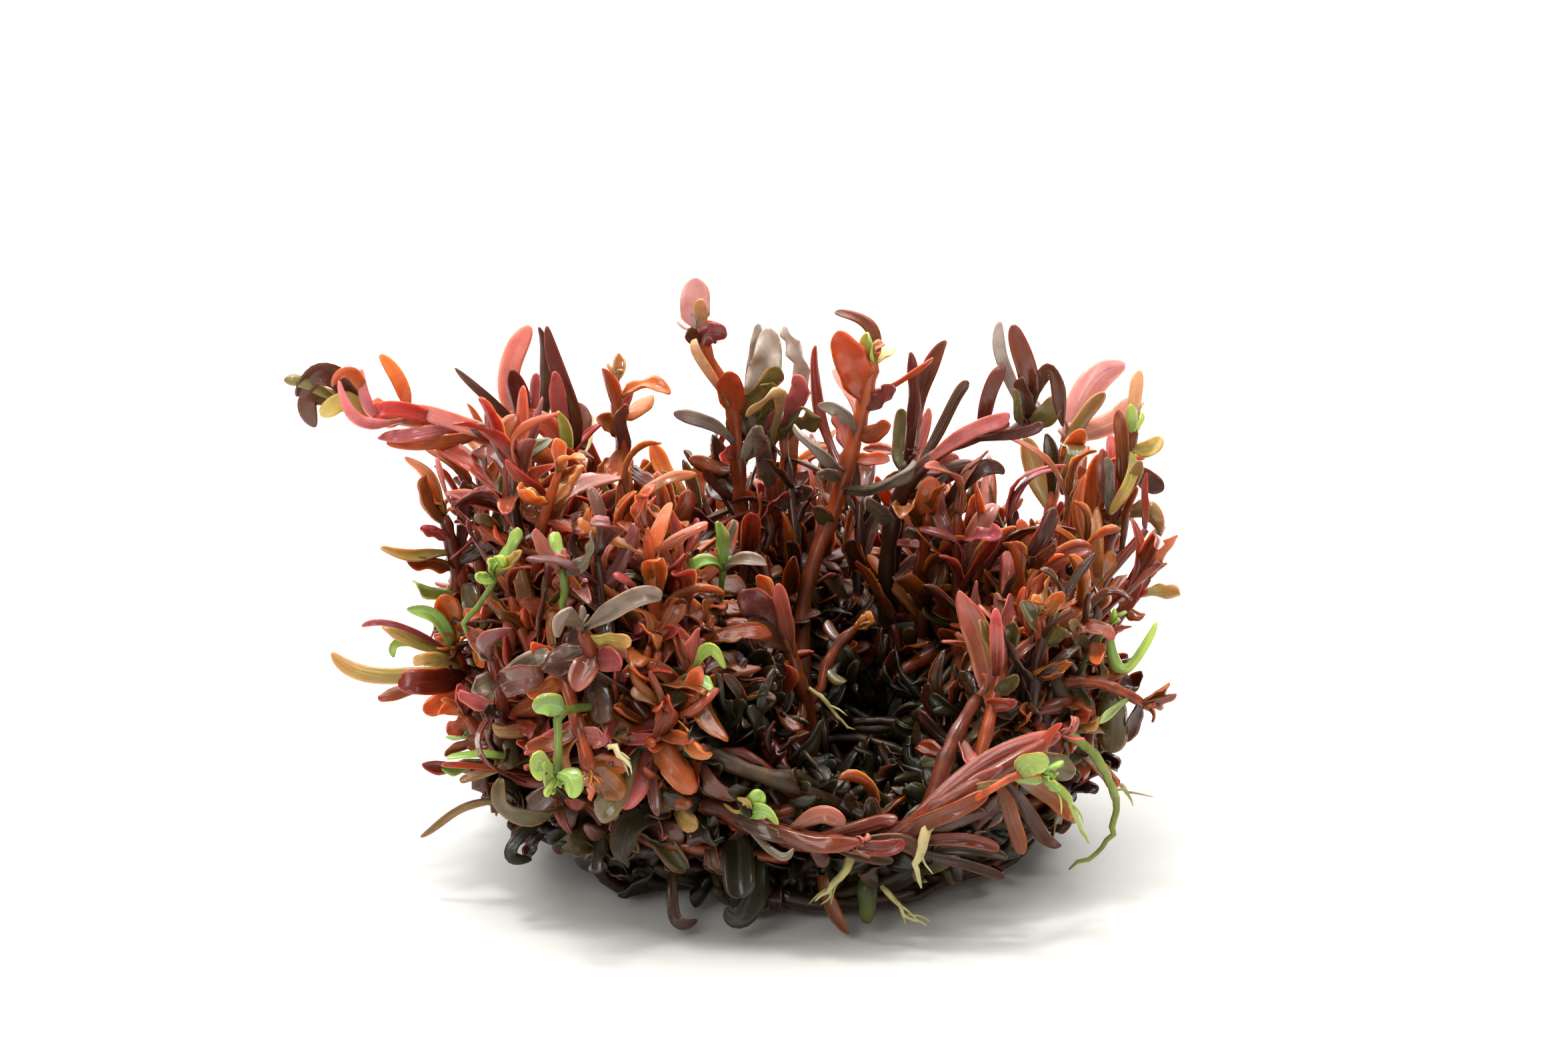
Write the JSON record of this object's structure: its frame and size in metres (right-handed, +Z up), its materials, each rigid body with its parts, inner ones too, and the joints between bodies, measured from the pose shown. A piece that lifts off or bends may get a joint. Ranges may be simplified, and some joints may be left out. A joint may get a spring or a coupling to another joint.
{
  "type": "blood red dwarf rotala",
  "caption": "Clump of a small red-leaved aquarium stem plant: a cup-shaped nest of woven stems, open in a hollow, with leafy shoots rising round it and fine loose roots.",
  "frame": {"origin": "centre of the flat underside that the clump rests on", "axes": "+Z up, -Y towards the open hollow at the front, +X along the longest side, towards the viewer's right in front of it"},
  "size_m": [0.072, 0.0603, 0.0464],
  "materials": {
    "woven_stems": "wet, dark woven stems and small leaves",
    "red_leaf": "wet, thin, slightly translucent leaf",
    "orange_leaf": "wet, thin leaf that glows orange with light behind it",
    "pink_leaf": "wet, thin leaf with a pale mauve bloom",
    "maroon_leaf": "wet, dark leaf with a soft sheen",
    "green_leaf": "wet, bright young leaf",
    "olive_leaf": "wet, dull olive leaf",
    "root": "smooth, pale and waxy"
  },
  "bodies": {
    "root": {"amber_shoot": "orange_leaf", "arching_right_shoot": "orange_leaf", "back_shoot_1": "orange_leaf", "back_shoot_2": "orange_leaf", "back_shoot_3": "red_leaf", "back_shoot_4": "maroon_leaf", "back_shoot_5": "maroon_leaf", "back_shoot_6": "orange_leaf", "back_shoot_7": "maroon_leaf", "back_shoot_8": "red_leaf", "bright_green_sprig": "green_leaf", "brown_bow_shoot": "maroon_leaf", "centre_green_fork": "green_leaf", "copper_fall_shoot": "orange_leaf", "copper_leaf_shoot": "pink_leaf", "dark_blade_shoot": "red_leaf", "dark_pair_shoot": "maroon_leaf", "far_pink_shoot": "orange_leaf", "floor_root": "root", "front_green_plantlet": "green_leaf", "front_rim_stem": "red_leaf", "front_root": "root", "grey_crumpled_shoot": "red_leaf", "hanging_green_root": "root", "hollow_root": "root", "hooked_green_leaf_shoot": "green_leaf", "left_back_leaf_shoot": "red_leaf", "left_front_shoot": "orange_leaf", "left_green_plantlet": "green_leaf", "left_grey_leaf_shoot": "red_leaf", "left_root": "root", "long_green_root": "root", "long_stem": "orange_leaf", "lower_left_shoot": "orange_leaf", "mauve_centre_shoot": "orange_leaf", "orange_paddle_shoot": "orange_leaf", "orange_tip_shoot": "red_leaf", "orange_tongue_shoot": "orange_leaf", "pale_side_root": "root", "pink_blade_shoot": "red_leaf", "reaching_shoot": "orange_leaf", "red_fork_shoot": "pink_leaf", "right_arm_shoot": "orange_leaf", "right_side_shoot": "red_leaf", "rim_green_sprig": "green_leaf", "rim_root": "root", "rim_runner": "pink_leaf", "rose_leaf_shoot": "orange_leaf", "second_green_plantlet": "green_leaf", "stem_stub": "root", "stem_tangle": "woven_stems", "tall_centre_shoot": "orange_leaf", "tall_right_shoot": "red_leaf", "tan_blade_shoot": "olive_leaf", "violet_left_shoot": "green_leaf"}
  },
  "joints": []
}
